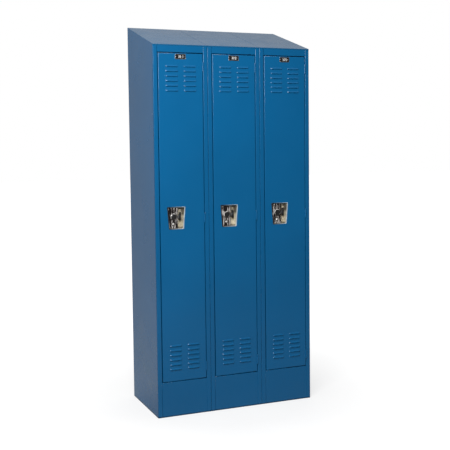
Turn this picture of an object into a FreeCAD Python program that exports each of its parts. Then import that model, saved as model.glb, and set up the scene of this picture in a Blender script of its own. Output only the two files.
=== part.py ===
"""Three-wide single-tier steel locker cabinet with sloping top, closed base and recessed lift handles.

Writes one STEP per sub-part to parts/. Millimetres, +Z up, front facing -Y, origin at the centre of the
footprint on the floor. Bays run left to right: left, centre, right. Each door hinges on its right edge.
"""
import FreeCAD, Part
import math
import os

V = FreeCAD.Vector

# ---- driving dimensions -------------------------------------------------------------------------
WIDTH = 914.4            # 36 in, three 12 in bays
DEPTH = 457.2            # 18 in
FRONT_HEIGHT = 1981.2    # 72 in locker on a 6 in base
BACK_HEIGHT = 2120.9     # back edge of the sloping top
BASE_HEIGHT = 152.4      # closed base under the lockers
BAYS = ("left", "centre", "right")

BODY_T = 0.8             # sides, partitions, backs, tops, floors and shelves
FRAME_T = 1.5            # door frames, doors and base fronts
BEND = 1.0               # inside radius of a press-brake bend
FRAME_BEND = 2.0         # the same on the uprights

# ---- walls and bays -----------------------------------------------------------------------------
KNUCKLE_R = 4.0
AXIS_PROUD = 0.5         # hinge axis in front of the door's face
FRONT = -(DEPTH - KNUCKLE_R - AXIS_PROUD) / 2  # face of the frames and doors
BACK = FRONT + DEPTH
BAY = (WIDTH - BODY_T) / len(BAYS)
WALL_X = [-WIDTH / 2 + BODY_T / 2 + i * BAY for i in range(len(BAYS) + 1)]
BAY_LEFT = [x + BODY_T / 2 for x in WALL_X[:-1]]
BAY_INSIDE = BAY - BODY_T
WALL_FLANGE = 16.0       # back strip of a side or partition
FLOOR_FLANGE = 20.0      # foot strip of a side or partition
FOOT_T = 1.5
SLOPE_CLEARANCE = 0.3    # walls and frames stop this far under the sloping sheets
PANEL_BACK = BACK - 2 * BODY_T - 0.3           # back edge of floors and shelves
SLOPE = math.atan2(BACK_HEIGHT - FRONT_HEIGHT, DEPTH)
TOP_FLANGE = 14.0
TOP_LIP = 6.0            # lip of the sloping top over the frame's front

# ---- door frame ---------------------------------------------------------------------------------
FACE = 24.2              # width of an upright's face
OUTER_LEG = 38.0
STRIKE_DEPTH = 26.0      # back of the door strike behind the front plane
STRIKE_LIP = 16.0
RAIL_DEPTH = 21.0        # header and sill lips stop in front of the uprights' strikes
RAIL_LIP = 12.0
DOOR_TOP = 1936.2
DOOR_BOTTOM = 191.5
DOOR_GAP = 4.0           # latch side, top and bottom
BASE_RECESS = 0.8        # base fronts behind the uprights' faces
HINGE_GAP = 3.2

# ---- doors --------------------------------------------------------------------------------------
DOOR_DEPTH = 20.0
DOOR_CORNER = 3.2        # outside radius round the door's face
DOOR_LEFT = FACE + DOOR_GAP                    # from the bay's left wall
DOOR_RIGHT = BAY_INSIDE - FACE - HINGE_GAP
LATCH_LIP = 18.0
HINGE_LIP = 12.0

LOUVRE_WIDTH = 70.0
LOUVRE_RISE = 9.0
LOUVRE_PROJECTION = 4.5
LOUVRE_SHEET = 1.2
LOUVRE_PITCH = 25.4
LOUVRE_ROWS = 6
LOUVRE_COLUMNS = (102.0, 203.6)                # column centres from the bay's left wall
LOUVRE_MARGIN = 66.0                           # door edge to the nearest slot
HOOK_SLOT_X = (5.0, 13.0)                      # slot in the latch lip, from the door's left edge
HOOK_SLOT_BELOW = 3.0
HOOK_SLOT_ABOVE = 4.0

# ---- hinges -------------------------------------------------------------------------------------
HINGE_HEIGHT = 50.8
HINGE_FROM_END = 67.0
HINGE_AXIS_X = DOOR_RIGHT + HINGE_GAP / 2
HINGE_AXIS_Y = FRONT - AXIS_PROUD
KNUCKLES = 5
KNUCKLE_GAP = 0.2
PIN_R = 2.2
PIN_CLEARANCE = 0.05
LEAF_T = 1.4
LEAF_DEPTH = 19.0
BARREL_CLEARANCE = 0.4
BARREL_END_GAP = 0.6
RIVET_Y = FRONT + 12.0
RIVET_DZ = (-15.3, 15.3)
RIVET_R = 2.0
RIVET_HOLE_R = 2.05
RIVET_HEAD_R = 3.8
RIVET_HEAD_T = 1.6
HINGE_Z = [DOOR_TOP - HINGE_FROM_END, (DOOR_TOP + DOOR_BOTTOM) / 2, DOOR_BOTTOM + HINGE_FROM_END]

# ---- latch gear ---------------------------------------------------------------------------------
BAR_LEFT = DOOR_LEFT + 3.0
BAR_WIDTH = 12.0
BAR_FRONT = FRONT + 7.0
BAR_DEPTH = 9.0
BAR_T = 1.2
BAR_BOTTOM = DOOR_BOTTOM + 40.0
BAR_TOP = DOOR_TOP - 45.0
BAR_TRAVEL = 12.0
LATCH_HOOK_Z = [DOOR_BOTTOM + 170.0, (DOOR_TOP + DOOR_BOTTOM) / 2 - 110.0, DOOR_TOP - 170.0]
HOOK_T = 2.4
HOOK_HEIGHT = 22.0
HOOK_LEFT = DOOR_LEFT + 7.8
GUIDE_Z = [DOOR_BOTTOM + 70.0, DOOR_BOTTOM + 560.0, DOOR_TOP - 560.0, DOOR_TOP - 75.0]
GUIDE_HEIGHT = 22.0
GUIDE_CLEARANCE = 0.3

# ---- recessed handle ----------------------------------------------------------------------------
HANDLE_X = 116.4         # centre line from the bay's left wall
HANDLE_BOTTOM = 1009.0
HANDLE_TOP = 1129.0
HANDLE_HALF_TOP = 51.5
HANDLE_HALF_BOTTOM = 42.0
BEZEL = 3.5
BEZEL_T = 1.6
STEEL_T = 0.8
BEZEL_CORNER = 5.0
BEZEL_EDGE = 0.9                               # rounding of the bezel's front edge
LOCK_CORNER = 3.0                              # corner radius of the shallow lock face
SPLIT_X = HANDLE_X + 9.0                       # lock face on its left, finger pocket on its right
LOCK_RECESS = 6.0
POCKET_DEPTH = 27.0
POCKET_RAMP = 14.0                             # slant of the pocket's right wall
POCKET_DRAFT = 3.0
LOCK_PLATE_T = 1.4
PLATE_INSET = 2.0                              # lock plate inside the bezel
RING_X = HANDLE_X - 12.0
RING_Z = HANDLE_BOTTOM + 66.0
RING_R = 18.5
RING_BORE_R = 15.3
RING_HEIGHT = 2.6
RING_EDGE = 1.4
BOSS_R = 12.5
BOSS_HEIGHT = 2.2
SLOT_DX = (-19.0, -5.0)                        # left edges of the lock plate's slots from the ring's centre
SLOT_WIDTH = 5.0
SLOT_HEIGHT = 20.0
SLOT_FROM_TOP = 33.0
FIXING_R = 4.0
FIXING_DX = -4.0
FIXING_Z = HANDLE_BOTTOM + 28.5
TRIGGER_LEFT = HANDLE_X + 18.5
TRIGGER_WIDTH = 9.0
TRIGGER_BOTTOM = 1056.0
TRIGGER_HEIGHT = 44.0
TRIGGER_FRONT = FRONT + 4.0
TRIGGER_BACK = FRONT + 17.0
TRIGGER_EDGE = 2.0
PADLOCK_HOLE_R = 3.2
PADLOCK_FROM_TOP = 9.0
LUG_FRONT = FRONT + 9.6
LUG_T = 2.0
LUG_HEIGHT = 16.0
LUG_Z = TRIGGER_BOTTOM + 11.0
LUG_SLOT_MARGIN = 3.0

# ---- fittings -----------------------------------------------------------------------------------
PLATE_WIDTH = 59.0
PLATE_HEIGHT = 28.0
PLATE_T = 0.8
PLATE_TOP = DOOR_TOP - 3.5
PLATE_CENTRE = BAY_INSIDE / 2
PLATE_BORDER = 1.6
PLATE_RIVET_DX = (-25.0, 25.0)
PLATE_RIVET_R = 1.5
PLATE_RIVET_HOLE_R = 1.55
PLATE_RIVET_HEAD_R = 2.6
PLATE_RIVET_HEAD_T = 1.0
FLOOR_Z = 165.0
SHELF_Z = 1676.4
SHELF_FRONT = FRONT + 48.0
PANEL_FLANGE = 14.0
HOOK_ROD_R = 3.2
CEILING_PAD = (28.0, 22.0, 3.2)                # width, depth and thickness of the ceiling hook's pad
PRONG_IN = 9.0                                 # prong's root from the hook's middle
PRONG_OUT = 37.0                               # prong's tip from the hook's middle
PRONG_DROP = 62.0
PRONG_TIP = 34.0                               # tip's distance below the pad's top
BOLT_R = 2.4
BOLT_HOLE_R = 2.55
BOLT_REACH = 9.0
BOLT_HEAD_R = 5.0
BOLT_HEAD_T = 2.4
NUT_R = 4.6                                    # across the corners
NUT_T = 3.2
NUT_BORE_R = 2.45
WALL_PAD = (18.0, 40.0, 2.5)                   # width, height and thickness of a wall hook's pad
FLOOR_BOLT_R = 5.0
WALL_BOLT_R = 4.5
WALL_BOLT_Z = (350.0, 1575.0)
FLOOR_BOLT_Y = 160.0
CEILING_HOOK_Y = 10.0
WALL_HOOK_Y = -40.0
WALL_HOOK_Z = SHELF_Z - 130.0


# ---- solid helpers ------------------------------------------------------------------------------
def box(x0, x1, y0, y1, z0, z1):
    return Part.makeBox(x1 - x0, y1 - y0, z1 - z0, V(x0, y0, z0))


def rod(start, direction, radius, length):
    return Part.makeCylinder(radius, length, start, direction)


def rounded_edges(points, radii):
    """Lines and arcs round a closed 3-D outline, with one corner radius per point."""
    count = len(points)
    starts, ends, arcs = [], [], []
    for i, point in enumerate(points):
        before = (points[i - 1] - point).normalize()
        after = (points[(i + 1) % count] - point).normalize()
        if radii[i] <= 0:
            starts.append(point)
            ends.append(point)
            arcs.append(None)
            continue
        half = before.getAngle(after) / 2
        reach = radii[i] / math.tan(half)
        bisector = (before + after).normalize()
        middle = point + bisector * (radii[i] / math.sin(half) - radii[i])
        starts.append(point + before * reach)
        ends.append(point + after * reach)
        arcs.append(Part.Arc(starts[i], middle, ends[i]).toShape())
    edges = []
    for i in range(count):
        if arcs[i] is not None:
            edges.append(arcs[i])
        gap = starts[(i + 1) % count] - ends[i]
        if gap.Length > 1e-6:
            edges.append(Part.LineSegment(ends[i], starts[(i + 1) % count]).toShape())
    return edges


def outline_face(points, radii):
    return Part.Face(Part.Wire(Part.__sortEdges__(rounded_edges(points, radii))))


def plane_point(plane, a, b, c):
    """A point of plane XY, YZ or XZ at (a, b), standing at c along the plane's normal axis."""
    return {"XY": V(a, b, c), "YZ": V(c, a, b), "XZ": V(a, c, b)}[plane]


def plane_normal(plane):
    return {"XY": V(0, 0, 1), "YZ": V(1, 0, 0), "XZ": V(0, 1, 0)}[plane]


def plate(plane, points, low, high, radius=0.0):
    """A flat plate: an outline in a plane, with rounded corners, between two heights along its normal."""
    corners = [plane_point(plane, a, b, low) for a, b in points]
    face = outline_face(corners, [radius] * len(corners))
    return face.extrude(plane_normal(plane) * (high - low))


def bent_sheet(plane, path, thickness, side, low, high, bend=BEND):
    """A bent sheet. The path is one face; the metal lies on its left (side 1) or its right (side -1)."""
    headings = []
    for (a0, b0), (a1, b1) in zip(path, path[1:]):
        length = math.hypot(a1 - a0, b1 - b0)
        headings.append(((a1 - a0) / length, (b1 - b0) / length))
    far, near_radii, far_radii = [], [], []
    for i, (a, b) in enumerate(path):
        into = headings[max(i - 1, 0)]
        out = headings[min(i, len(headings) - 1)]
        normals = [(-side * h[1], side * h[0]) for h in (into, out)]
        scale = thickness / (1 + normals[0][0] * normals[1][0] + normals[0][1] * normals[1][1])
        across = [scale * (normals[0][k] + normals[1][k]) for k in (0, 1)]
        far.append((a + across[0], b + across[1]))
        turn = side * (into[0] * out[1] - into[1] * out[0])
        near_radii.append(0 if abs(turn) < 1e-9 else bend + thickness if turn > 0 else bend)
        far_radii.append(0 if abs(turn) < 1e-9 else bend if turn > 0 else bend + thickness)
    points = [plane_point(plane, a, b, low) for a, b in path + far[::-1]]
    face = outline_face(points, near_radii + far_radii[::-1])
    return face.extrude(plane_normal(plane) * (high - low))


def bent_rod(points, radius, bends):
    """A round rod along straight runs joined by tangent arcs, with ball ends."""
    edges = []
    last = points[0]
    for i in range(1, len(points) - 1):
        before = (points[i - 1] - points[i]).normalize()
        after = (points[i + 1] - points[i]).normalize()
        half = before.getAngle(after) / 2
        reach = bends[i - 1] / math.tan(half)
        middle = points[i] + (before + after).normalize() * (bends[i - 1] / math.sin(half) - bends[i - 1])
        start, end = points[i] + before * reach, points[i] + after * reach
        edges.append(Part.LineSegment(last, start).toShape())
        edges.append(Part.Arc(start, middle, end).toShape())
        last = end
    edges.append(Part.LineSegment(last, points[-1]).toShape())
    path = Part.Wire(edges)
    section = Part.Wire(Part.makeCircle(radius, points[0], points[1] - points[0]))
    body = path.makePipeShell([section], True, False)
    return body.fuse([Part.makeSphere(radius * 1.35, points[-1])]).removeSplitter()


def save(name, solids):
    """Writes one node: a list of separate solids, or one."""
    solids = solids if isinstance(solids, list) else [solids]
    shape = solids[0] if len(solids) == 1 else Part.makeCompound(solids)
    for solid in shape.Solids:
        if not solid.isValid():
            raise ValueError(name + " is not a valid solid")
    if len(shape.Solids) != len(solids):
        raise ValueError(f"{name} has {len(shape.Solids)} solids and should have {len(solids)}")
    shape.exportStep(f"parts/{name}.step")


def moved(solids, x):
    return [s.translated(V(x, 0, 0)) for s in solids]


def slope_z(y, below=0.0):
    """Height of the sloping top's outer surface at y, less a distance square to the slope."""
    return FRONT_HEIGHT + (y - FRONT) * math.tan(SLOPE) - below / math.cos(SLOPE)


# ---- cabinet ------------------------------------------------------------------------------------
def wall(x, inward, outer):
    """A side or partition: a sheet up to the sloping top, with strips spot-welded to its back and foot."""
    front = FRONT + FRAME_T + BEND + (1.5 if outer else 0.5)
    back = BACK - BODY_T
    corners = [(front, 0), (back, 0), (back, slope_z(back, SLOPE_CLEARANCE)),
               (front, slope_z(front, SLOPE_CLEARANCE))]
    sheet = plate("YZ", corners, x - BODY_T / 2, x + BODY_T / 2)
    near = x + inward * BODY_T / 2
    strip_x = sorted((near, near + inward * WALL_FLANGE))
    back_strip = box(*strip_x, back - BODY_T, back, 0,
                     slope_z(back - BODY_T, BODY_T + SLOPE_CLEARANCE) - TOP_FLANGE - 1)
    foot_x = sorted((near, near + inward * FLOOR_FLANGE))
    foot = box(*foot_x, FRONT + OUTER_LEG + 4, back - 2 * BODY_T, 0, FOOT_T)
    if outer:
        centre = near + inward * (FLOOR_FLANGE - 8)
        foot = foot.cut([rod(V(centre, y, -1), V(0, 0, 1), FLOOR_BOLT_R, FOOT_T + 2)
                         for y in (-FLOOR_BOLT_Y, FLOOR_BOLT_Y)])
    return [sheet, back_strip, foot]


def back_panel(i):
    """A back sheet over the walls' flanges, with a lip under the sloping top and two wall-anchor holes."""
    left = -WIDTH / 2 if i == 0 else WALL_X[i] + 0.2
    right = WIDTH / 2 if i == len(BAYS) - 1 else WALL_X[i + 1] - 0.2
    sheet = box(left, right, BACK - BODY_T, BACK, 0, slope_z(BACK - BODY_T, BODY_T + 0.1))
    if i != 1:
        centre = WALL_X[i] + BAY / 2
        sheet = sheet.cut([rod(V(centre, BACK - 5, z), V(0, 1, 0), WALL_BOLT_R, 10) for z in WALL_BOLT_Z])
    return sheet


def slope_top():
    """The sloping roof of one bay, flanged down beside the walls and over the back."""
    length = DEPTH / math.cos(SLOPE) + 40
    path = [(0, -TOP_FLANGE), (0, 0), (BAY_INSIDE, 0), (BAY_INSIDE, -TOP_FLANGE)]
    sheet = bent_sheet("XZ", path, BODY_T, -1, -20, length)
    sheet.rotate(V(0, 0, 0), V(1, 0, 0), math.degrees(SLOPE))
    sheet.translate(V(0, FRONT, FRONT_HEIGHT))
    sheet = sheet.common(box(-1, BAY_INSIDE + 1, FRONT, BACK, 0, BACK_HEIGHT + 50))
    clear_legs = box(-1, BAY_INSIDE + 1, FRONT - 1, FRONT + OUTER_LEG + 1,
                     FRONT_HEIGHT - 2 * TOP_FLANGE, FRONT_HEIGHT - BODY_T * 1.3)
    behind = box(-1, BAY_INSIDE + 1, BACK - 4 * BODY_T, BACK + 1,
                 BACK_HEIGHT - 3 * TOP_FLANGE, slope_z(BACK - 4 * BODY_T, BODY_T + 0.5))
    back_top = slope_z(BACK - BODY_T, BODY_T)
    corners = [box(x, x + 3, BACK - BODY_T, BACK + 1, BACK_HEIGHT - 2 * TOP_FLANGE, back_top)
               for x in (-1, BAY_INSIDE - 2)]
    back_lip = box(2.5, BAY_INSIDE - 2.5, BACK - 2 * BODY_T, BACK - BODY_T,
                   BACK_HEIGHT - TOP_FLANGE, slope_z(BACK - 2 * BODY_T, BODY_T / 2))
    front_lip = box(1.0, BAY_INSIDE - 1.0, FRONT - BODY_T, FRONT, FRONT_HEIGHT - TOP_LIP, FRONT_HEIGHT)
    outside = [e for e in front_lip.Edges if e.BoundBox.YMax < FRONT - BODY_T + 1e-6]
    rim = [e for e in outside if e.BoundBox.ZMin > FRONT_HEIGHT - 1]
    front_lip = front_lip.makeFillet(BODY_T * 0.7, rim)
    return sheet.cut([clear_legs, behind] + corners).fuse([back_lip, front_lip]).removeSplitter()


def tray(z, front, back, inset, lip):
    """A floor or shelf: a flat sheet with down-turned flanges on all four sides and a hemmed front."""
    x0, x1 = inset, BAY_INSIDE - inset
    top = box(x0, x1, front, back, z - BODY_T, z)
    edge = [e for e in top.Edges if e.BoundBox.YMax < front + 1e-6 and e.BoundBox.ZMin > z - 1e-6]
    top = top.makeFillet(BODY_T * 0.9, edge)
    rims = [box(x0, x1, front, front + BODY_T, z - lip, z - BODY_T),
            box(x0, x1, back - BODY_T, back, z - lip, z - BODY_T),
            box(x0, x0 + BODY_T, front, back, z - lip, z - BODY_T),
            box(x1 - BODY_T, x1, front, back, z - lip, z - BODY_T),
            box(x0, x1, front, front + 10, z - lip, z - lip + BODY_T)]
    return top.fuse(rims).removeSplitter()


def barrel_rooms():
    """Room for the hinge barrels, cut from the hinge upright and the door."""
    return [rod(V(HINGE_AXIS_X, HINGE_AXIS_Y, z - HINGE_HEIGHT / 2 - BARREL_END_GAP), V(0, 0, 1),
                KNUCKLE_R + BARREL_CLEARANCE, HINGE_HEIGHT + 2 * BARREL_END_GAP) for z in HINGE_Z]


def upright(mirrored):
    """A frame upright: outer leg, face, inner leg and the strike lip that the door closes on."""
    path = [(0, FRONT + OUTER_LEG), (0, FRONT), (FACE, FRONT),
            (FACE, FRONT + STRIKE_DEPTH), (FACE + STRIKE_LIP, FRONT + STRIKE_DEPTH)]
    side = 1
    if mirrored:
        path = [(BAY_INSIDE - a, b) for a, b in path]
        side = -1
    return bent_sheet("XY", path, FRAME_T, side, 0, FRONT_HEIGHT - 1.2, FRAME_BEND)


def door_frame():
    """Latch upright, hinge upright, header and sill of one bay, as four welded members."""
    latch = upright(False)
    hinge = upright(True)
    hinge = hinge.cut(barrel_rooms())
    x0, x1 = FACE, BAY_INSIDE - FACE
    under = BODY_T + 0.25
    reach = 20.0
    header_path = [(FRONT + reach, slope_z(FRONT + reach, under)), (FRONT, slope_z(FRONT, under)),
                   (FRONT, DOOR_TOP + DOOR_GAP), (FRONT + RAIL_DEPTH, DOOR_TOP + DOOR_GAP),
                   (FRONT + RAIL_DEPTH, DOOR_TOP + DOOR_GAP - RAIL_LIP)]
    header = bent_sheet("YZ", header_path, FRAME_T, 1, x0, x1)
    web = FRONT + BASE_RECESS + FRAME_T + 0.8
    sill_path = [(FRONT + RAIL_DEPTH, DOOR_BOTTOM - DOOR_GAP + RAIL_LIP),
                 (FRONT + RAIL_DEPTH, DOOR_BOTTOM - DOOR_GAP), (web, DOOR_BOTTOM - DOOR_GAP),
                 (web, BASE_HEIGHT), (FRONT + RAIL_DEPTH, BASE_HEIGHT)]
    sill = bent_sheet("YZ", sill_path, FRAME_T, 1, x0, x1)
    return [latch, hinge, header, sill]


def base_front():
    """The closing plate between two uprights: it covers the sill, and is flanged at its sides and foot."""
    x0, x1 = FACE + 0.6, BAY_INSIDE - FACE - 0.6
    y0, y1 = FRONT + BASE_RECESS, FRONT + 16.0
    z1 = DOOR_BOTTOM - DOOR_GAP
    block = box(x0, x1, y0, y1, 0, z1)
    rim = [e for e in block.Edges if e.BoundBox.YMax < y0 + 1e-6 and e.BoundBox.ZMax > 1]
    block = block.makeFillet(1.3, rim)
    hollow = box(x0 + FRAME_T, x1 - FRAME_T, y0 + FRAME_T, y1 + 1, FRAME_T, z1 + 1)
    sill_room = box(x0 - 1, x1 + 1, y0 + FRAME_T, y1 + 1, BASE_HEIGHT - 2, z1 + 1)
    return block.cut([hollow, sill_room]).removeSplitter()


# ---- doors --------------------------------------------------------------------------------------
def louvre_solid(rise, projection, radius, centre, back):
    """Half-round-ended hood: a curved section run along X and turned a quarter at both ends."""
    straight = LOUVRE_WIDTH / 2 - LOUVRE_RISE
    tip = FRONT - projection
    middle_angle = math.atan2(rise, centre) / 2 if centre > 0 else math.pi / 4
    middle = V(-straight, FRONT + centre - radius * math.cos(middle_angle), radius * math.sin(middle_angle))
    inside_low, outside_low = V(-straight, back, 0), V(-straight, tip, 0)
    outside_high, inside_high = V(-straight, FRONT, rise), V(-straight, back, rise)
    edges = [Part.LineSegment(inside_low, outside_low).toShape(),
             Part.Arc(outside_low, middle, outside_high).toShape(),
             Part.LineSegment(outside_high, inside_high).toShape(),
             Part.LineSegment(inside_high, inside_low).toShape()]
    face = Part.Face(Part.Wire(edges))
    body = face.extrude(V(2 * straight, 0, 0))
    left = face.revolve(V(-straight, 0, 0), V(0, 1, 0), -90)
    right = face.translated(V(2 * straight, 0, 0)).revolve(V(straight, 0, 0), V(0, 1, 0), 90)
    return body.fuse([left, right]).removeSplitter()


def louvre_pair():
    """(outside of a louvre, the air inside it), with the slot at z 0 facing down."""
    radius = (LOUVRE_PROJECTION ** 2 + LOUVRE_RISE ** 2) / (2 * LOUVRE_PROJECTION)
    centre = radius - LOUVRE_PROJECTION
    inner = radius - LOUVRE_SHEET
    inner_rise = math.sqrt(inner ** 2 - centre ** 2)
    hood = louvre_solid(LOUVRE_RISE, LOUVRE_PROJECTION, radius, centre, FRONT + FRAME_T / 2)
    void = louvre_solid(inner_rise, inner - centre, inner, centre, FRONT + FRAME_T + 0.5)
    return hood, void


def handle_outline(inset, depth=0.0, ramp=0.0, left=None):
    """Corners of the handle's tapered outline, inset all round, at a depth behind the door's face."""
    y = FRONT + depth
    z0, z1 = HANDLE_BOTTOM + inset, HANDLE_TOP - inset
    taper = (HANDLE_HALF_TOP - HANDLE_HALF_BOTTOM) / (HANDLE_TOP - HANDLE_BOTTOM)

    def half(z):
        return HANDLE_HALF_BOTTOM + taper * (z - HANDLE_BOTTOM) - inset
    low_left = HANDLE_X - half(z0) if left is None else left
    high_left = HANDLE_X - half(z1) if left is None else left
    return [V(low_left, y, z0), V(HANDLE_X + half(z0) - ramp, y, z0),
            V(HANDLE_X + half(z1) - ramp, y, z1), V(high_left, y, z1)]


def handle_prism(inset, front, back, radius, left=None, right=None):
    points = handle_outline(inset, front, 0.0, left)
    if right is not None:
        points[1].x = points[2].x = right
    face = outline_face(points, [radius] * 4)
    return face.extrude(V(0, back - front, 0))


def pocket_tub(grow):
    """The finger pocket as a tapering tub; grow 0 is its inside and the sheet thickness its outside."""
    mouth = handle_outline(BEZEL - grow, 0.0, 0.0, SPLIT_X - grow)
    floor_inset = BEZEL + POCKET_DRAFT - grow
    floor = handle_outline(floor_inset, POCKET_DEPTH + grow, POCKET_RAMP, SPLIT_X + 1.0 - grow)
    radii = [BEZEL_CORNER + grow] * 4
    wires = [Part.Wire(Part.__sortEdges__(rounded_edges(corners, radii))) for corners in (mouth, floor)]
    return Part.makeLoft(wires, True, True)


def handle_pocket():
    """Drawn stainless pocket: bezel on the door's face, shallow lock face, deep finger pocket."""
    bezel = handle_prism(0, -BEZEL_T, 0, BEZEL_CORNER)
    front_rim = [e for e in bezel.Edges if e.BoundBox.YMax < FRONT - BEZEL_T + 1e-6]
    bezel = bezel.makeFillet(BEZEL_EDGE, front_rim)
    lock_outside = handle_prism(BEZEL - STEEL_T, -0.01, LOCK_RECESS + STEEL_T,
                                LOCK_CORNER + STEEL_T, right=SPLIT_X + 4)
    lock_inside = handle_prism(BEZEL, -BEZEL_T - 1, LOCK_RECESS, LOCK_CORNER, right=SPLIT_X + 3)
    tub_mouth = handle_prism(BEZEL, -BEZEL_T - 1, 0.2, LOCK_CORNER, left=SPLIT_X)
    slot = box(SPLIT_X - 3, SPLIT_X + 4, LUG_FRONT - 0.6, LUG_FRONT + LUG_T + 0.6,
               LUG_Z - LUG_SLOT_MARGIN, LUG_Z + LUG_HEIGHT + BAR_TRAVEL + LUG_SLOT_MARGIN)
    body = bezel.fuse([lock_outside, pocket_tub(STEEL_T)])
    return body.cut([lock_inside, tub_mouth, pocket_tub(0.0), slot]).removeSplitter()


def lock_plate():
    """Lock mounting plate on the shallow face: raised ring, round boss, two slots and a domed fixing."""
    y0, y1 = FRONT + LOCK_RECESS - LOCK_PLATE_T, FRONT + LOCK_RECESS
    sheet = handle_prism(BEZEL + PLATE_INSET, y0 - FRONT, y1 - FRONT, 2.0, right=SPLIT_X - 1.0)
    ring = rod(V(RING_X, y0 - RING_HEIGHT, RING_Z), V(0, 1, 0), RING_R, RING_HEIGHT + 0.7)
    ring = ring.makeFillet(RING_EDGE, [e for e in ring.Edges if e.BoundBox.YMax < y0 - RING_HEIGHT + 0.1])
    dish = rod(V(RING_X, y0 - RING_HEIGHT - 1, RING_Z), V(0, 1, 0), RING_BORE_R, RING_HEIGHT + 0.6)
    boss = rod(V(RING_X, y0 - BOSS_HEIGHT, RING_Z), V(0, 1, 0), BOSS_R, BOSS_HEIGHT + 0.2)
    fixing = Part.makeSphere(FIXING_R, V(RING_X + FIXING_DX, y1, FIXING_Z))
    fixing = fixing.common(box(0, BAY_INSIDE, FRONT - LOCK_RECESS, y0 + 0.6, 0, FRONT_HEIGHT))
    low = HANDLE_TOP - SLOT_FROM_TOP
    slots = [box(RING_X + dx, RING_X + dx + SLOT_WIDTH, FRONT, FRONT + POCKET_DEPTH, low, low + SLOT_HEIGHT)
             for dx in SLOT_DX]
    return sheet.fuse([ring]).cut([dish] + slots).fuse([boss, fixing]).removeSplitter()


def lift_trigger():
    """Moulded finger trigger in the pocket, with a padlock hole through it."""
    x0, x1 = TRIGGER_LEFT, TRIGGER_LEFT + TRIGGER_WIDTH
    z0, z1 = TRIGGER_BOTTOM, TRIGGER_BOTTOM + TRIGGER_HEIGHT
    body = box(x0, x1, TRIGGER_FRONT, TRIGGER_BACK, z0, z1)
    nose = [e for e in body.Edges if e.BoundBox.YMax < TRIGGER_BACK - 1]
    body = body.makeFillet(TRIGGER_EDGE, nose)
    start = V(x0 - 1, (TRIGGER_FRONT + TRIGGER_BACK) / 2, z1 - PADLOCK_FROM_TOP)
    return body.cut([rod(start, V(1, 0, 0), PADLOCK_HOLE_R, TRIGGER_WIDTH + 2)])


def lock_bar():
    """Sliding bar down the latch side: a channel open to the back, with the lug that the trigger lifts."""
    x0, x1 = BAR_LEFT, BAR_LEFT + BAR_WIDTH
    back = BAR_FRONT + BAR_DEPTH
    path = [(x0, back), (x0, BAR_FRONT), (x1, BAR_FRONT), (x1, back)]
    channel = bent_sheet("XY", path, BAR_T, 1, BAR_BOTTOM, BAR_TOP, 0.6)
    lug = box(x1 - BAR_T, TRIGGER_LEFT, LUG_FRONT, LUG_FRONT + LUG_T, LUG_Z, LUG_Z + LUG_HEIGHT)
    return channel.fuse([lug]).removeSplitter()


def spring_latch(z):
    """Leaf latch across the bar just above a frame hook: two tails and a sprung nose."""
    x0, x1 = BAR_LEFT + BAR_T + 0.3, BAR_LEFT + BAR_WIDTH - BAR_T - 0.3
    low = z + HOOK_HEIGHT + 0.5
    y0 = BAR_FRONT + BAR_T
    path = [(y0, low + 26), (y0 + 1.2, low + 14), (y0 + 3.6, low), (y0 + 6.6, low + 5)]
    return bent_sheet("YZ", path, 1.0, 1, x0, x1, 0.8)


def bar_guide(z):
    """Slotted plastic block that keeps the bar off the door."""
    x0, x1 = DOOR_LEFT + FRAME_T, DOOR_LEFT + LATCH_LIP - FRAME_T
    half = GUIDE_HEIGHT / 2
    block = box(x0, x1, FRONT + 4.5, FRONT + DOOR_DEPTH - FRAME_T, z - half, z + half)
    c = GUIDE_CLEARANCE
    way = box(BAR_LEFT - c, BAR_LEFT + BAR_WIDTH + c, BAR_FRONT - c, BAR_FRONT + BAR_DEPTH + c,
              z - GUIDE_HEIGHT, z + GUIDE_HEIGHT)
    return block.cut([way])


def door_panel():
    """Door pan with flanges and lips, louvres, handle opening, hook slots and hinge notches."""
    x0, x1, t = DOOR_LEFT, DOOR_RIGHT, FRAME_T
    y1 = FRONT + DOOR_DEPTH

    def pan(inset, depth, radius):
        block = box(x0 + inset, x1 - inset, FRONT + inset, depth, DOOR_BOTTOM + inset, DOOR_TOP - inset)
        return block.makeFillet(radius, [e for e in block.Edges if e.BoundBox.YMax < FRONT + inset + 1e-6])
    door = pan(0, y1, DOOR_CORNER).cut([pan(t, y1 + 5, DOOR_CORNER - t)])
    z0, z1 = DOOR_BOTTOM + t / 2, DOOR_TOP - t / 2
    lips = [box(x0 + t / 2, x0 + LATCH_LIP, y1 - t, y1, z0, z1),
            box(x0 + LATCH_LIP - t, x0 + LATCH_LIP, y1 - 5, y1 - t / 2, z0, z1),
            box(x1 - HINGE_LIP, x1 - t / 2, y1 - t, y1, z0, z1)]
    hood, void = louvre_pair()
    spots = [V(x, 0, z) for x in LOUVRE_COLUMNS for row in range(LOUVRE_ROWS)
             for z in (DOOR_BOTTOM + LOUVRE_MARGIN + row * LOUVRE_PITCH - LOUVRE_RISE / 2,
                       DOOR_TOP - LOUVRE_MARGIN - row * LOUVRE_PITCH - LOUVRE_RISE / 2)]
    door = door.fuse(lips + [hood.translated(p) for p in spots])
    cuts = [void.translated(p) for p in spots]
    cuts.append(handle_prism(BEZEL - STEEL_T - 0.3, -1, 8, 4.0))
    cuts += barrel_rooms()
    cuts += [box(x0 + HOOK_SLOT_X[0], x0 + HOOK_SLOT_X[1], y1 - 4, y1 + 1,
                 z - HOOK_SLOT_BELOW, z + HOOK_HEIGHT + HOOK_SLOT_ABOVE) for z in LATCH_HOOK_Z]
    cuts += rivet_holes()
    return door.cut(cuts).removeSplitter()


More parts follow.
